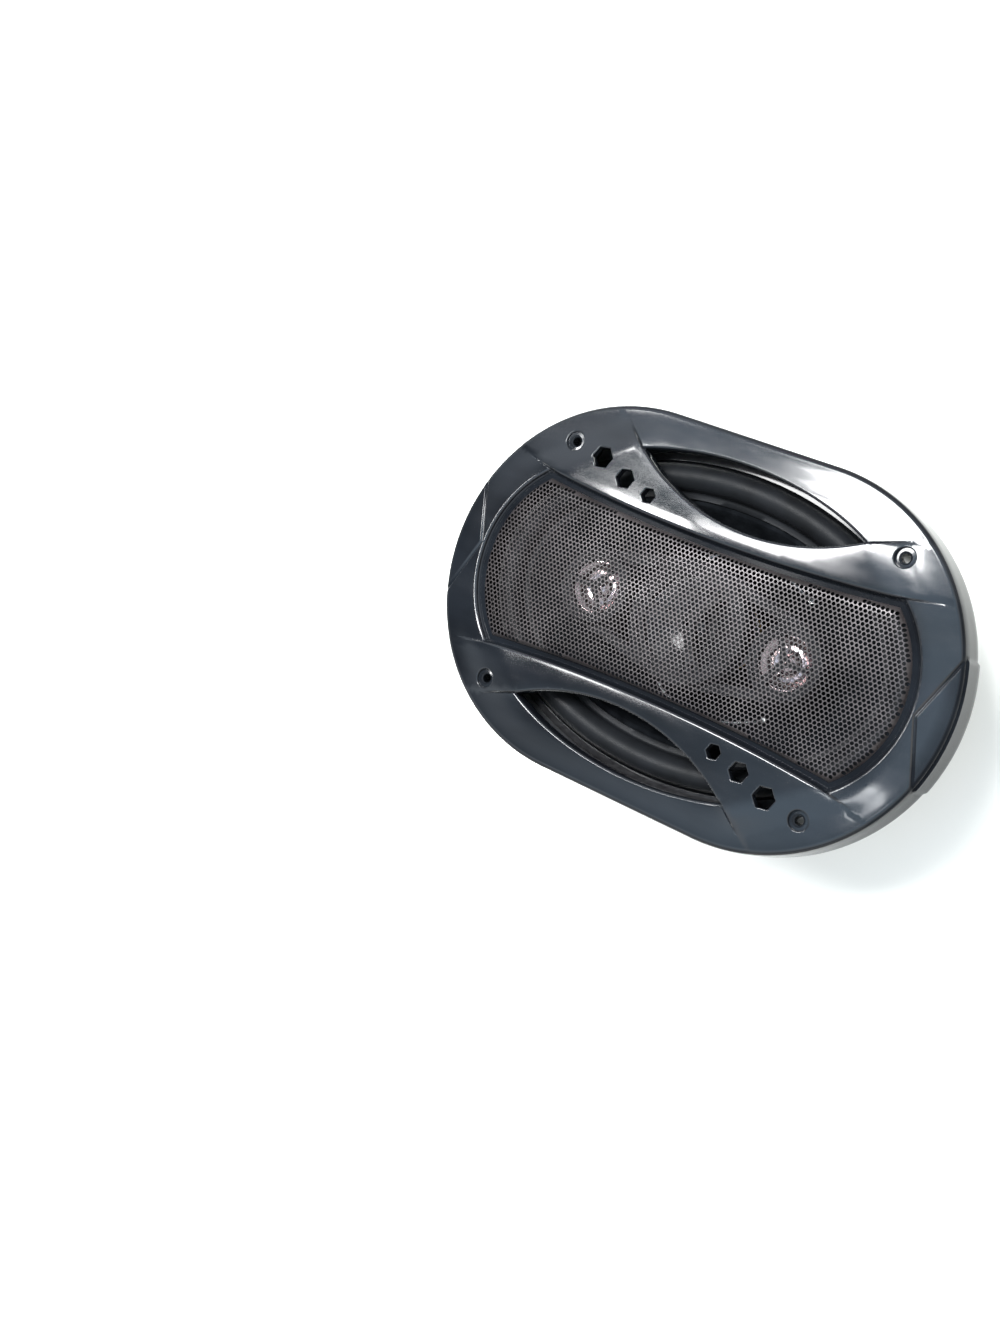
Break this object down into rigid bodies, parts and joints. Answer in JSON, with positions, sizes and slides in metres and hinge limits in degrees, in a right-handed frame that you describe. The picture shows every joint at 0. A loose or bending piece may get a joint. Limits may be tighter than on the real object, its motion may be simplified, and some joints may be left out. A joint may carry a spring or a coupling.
{
  "type": "coaxial car speaker",
  "caption": "Oval coaxial car speaker: a woofer with a midrange and tweeters on a bridge over its cone, under a trim with a perforated metal grille that pulls off.",
  "frame": {"origin": "centre of the magnet's rear face", "axes": "+X along the oval's long axis, +Y along its short axis, +Z out of the grille"},
  "size_m": [0.2516, 0.1704, 0.1017],
  "materials": {
    "black_steel": "satin black paint",
    "plated_steel": "zinc plated",
    "ferrite": "dull sintered",
    "satin_plastic": "fine grained moulding",
    "damper_cloth": "resin treated woven cloth",
    "surround_rubber": "smooth",
    "gasket_rubber": "smooth",
    "capacitor_sleeve": "shrink sleeve",
    "phenolic_board": "pressed board",
    "tinned_metal": "bright tin",
    "tinsel_braid": "braided",
    "cone_fibre": "pressed fibre cone",
    "former_film": "film",
    "copper_wire": "enamelled wire",
    "midrange_film": "glossy",
    "tweeter_film": "metallised ridged film",
    "trim_gloss": "high gloss moulding",
    "mesh_steel": "satin charcoal paint"
  },
  "bodies": {
    "frame": {"basket": "black_steel", "yoke": "plated_steel", "magnet": "ferrite", "top_plate": "plated_steel", "bridge_post": "satin_plastic", "post_screw": "plated_steel", "bridge_screw": "plated_steel", "spider": "damper_cloth", "surround": "surround_rubber", "surround_gasket": "gasket_rubber", "bridge": "satin_plastic", "crossover_capacitors": "capacitor_sleeve", "midrange_frame": "black_steel", "midrange_pot": "plated_steel", "midrange_magnet": "ferrite", "midrange_guard": "satin_plastic", "tweeter_left_frame": "satin_plastic", "tweeter_left_pot": "plated_steel", "tweeter_left_magnet": "ferrite", "tweeter_left_guard": "satin_plastic", "tweeter_right_frame": "satin_plastic", "tweeter_right_pot": "plated_steel", "tweeter_right_magnet": "ferrite", "tweeter_right_guard": "satin_plastic", "terminal_board": "phenolic_board", "terminal_positive": "tinned_metal", "terminal_negative": "tinned_metal", "terminal_rivets": "tinned_metal", "tinsel_leads": "tinsel_braid", "terminal_leads": "tinsel_braid"},
    "cone_assembly": {"cone": "cone_fibre", "voice_coil_former": "former_film", "voice_coil": "copper_wire", "lead_eyelets": "tinned_metal"},
    "midrange_diaphragm": {"midrange_cone": "midrange_film", "midrange_coil": "copper_wire"},
    "tweeter_left_diaphragm": {"tweeter_left_dome": "tweeter_film", "tweeter_left_coil": "copper_wire"},
    "tweeter_right_diaphragm": {"tweeter_right_dome": "tweeter_film", "tweeter_right_coil": "copper_wire"},
    "grille": {"grille_trim": "trim_gloss", "grille_mesh": "mesh_steel"}
  },
  "joints": [
    {"name": "cone_travel", "type": "slide", "parent": "frame", "child": "cone_assembly", "axis": [0, 0, 1], "range_m": [-0.005, 0.005], "stiffness_N_per_m": 2000, "deforming": ["surround", "spider", "tinsel_leads", "terminal_leads"]},
    {"name": "midrange_travel", "type": "slide", "parent": "frame", "child": "midrange_diaphragm", "axis": [0, 0, 1], "range_m": [-0.0008, 0.0008], "stiffness_N_per_m": 400},
    {"name": "tweeter_left_travel", "type": "slide", "parent": "frame", "child": "tweeter_left_diaphragm", "axis": [0, 0, 1], "range_m": [-0.0003, 0.0003], "stiffness_N_per_m": 200},
    {"name": "tweeter_right_travel", "type": "slide", "parent": "frame", "child": "tweeter_right_diaphragm", "axis": [0, 0, 1], "range_m": [-0.0003, 0.0003], "stiffness_N_per_m": 200},
    {"name": "grille_lift", "type": "slide", "parent": "frame", "child": "grille", "axis": [0, 0, 1], "range_m": [0, 0.07]}
  ]
}
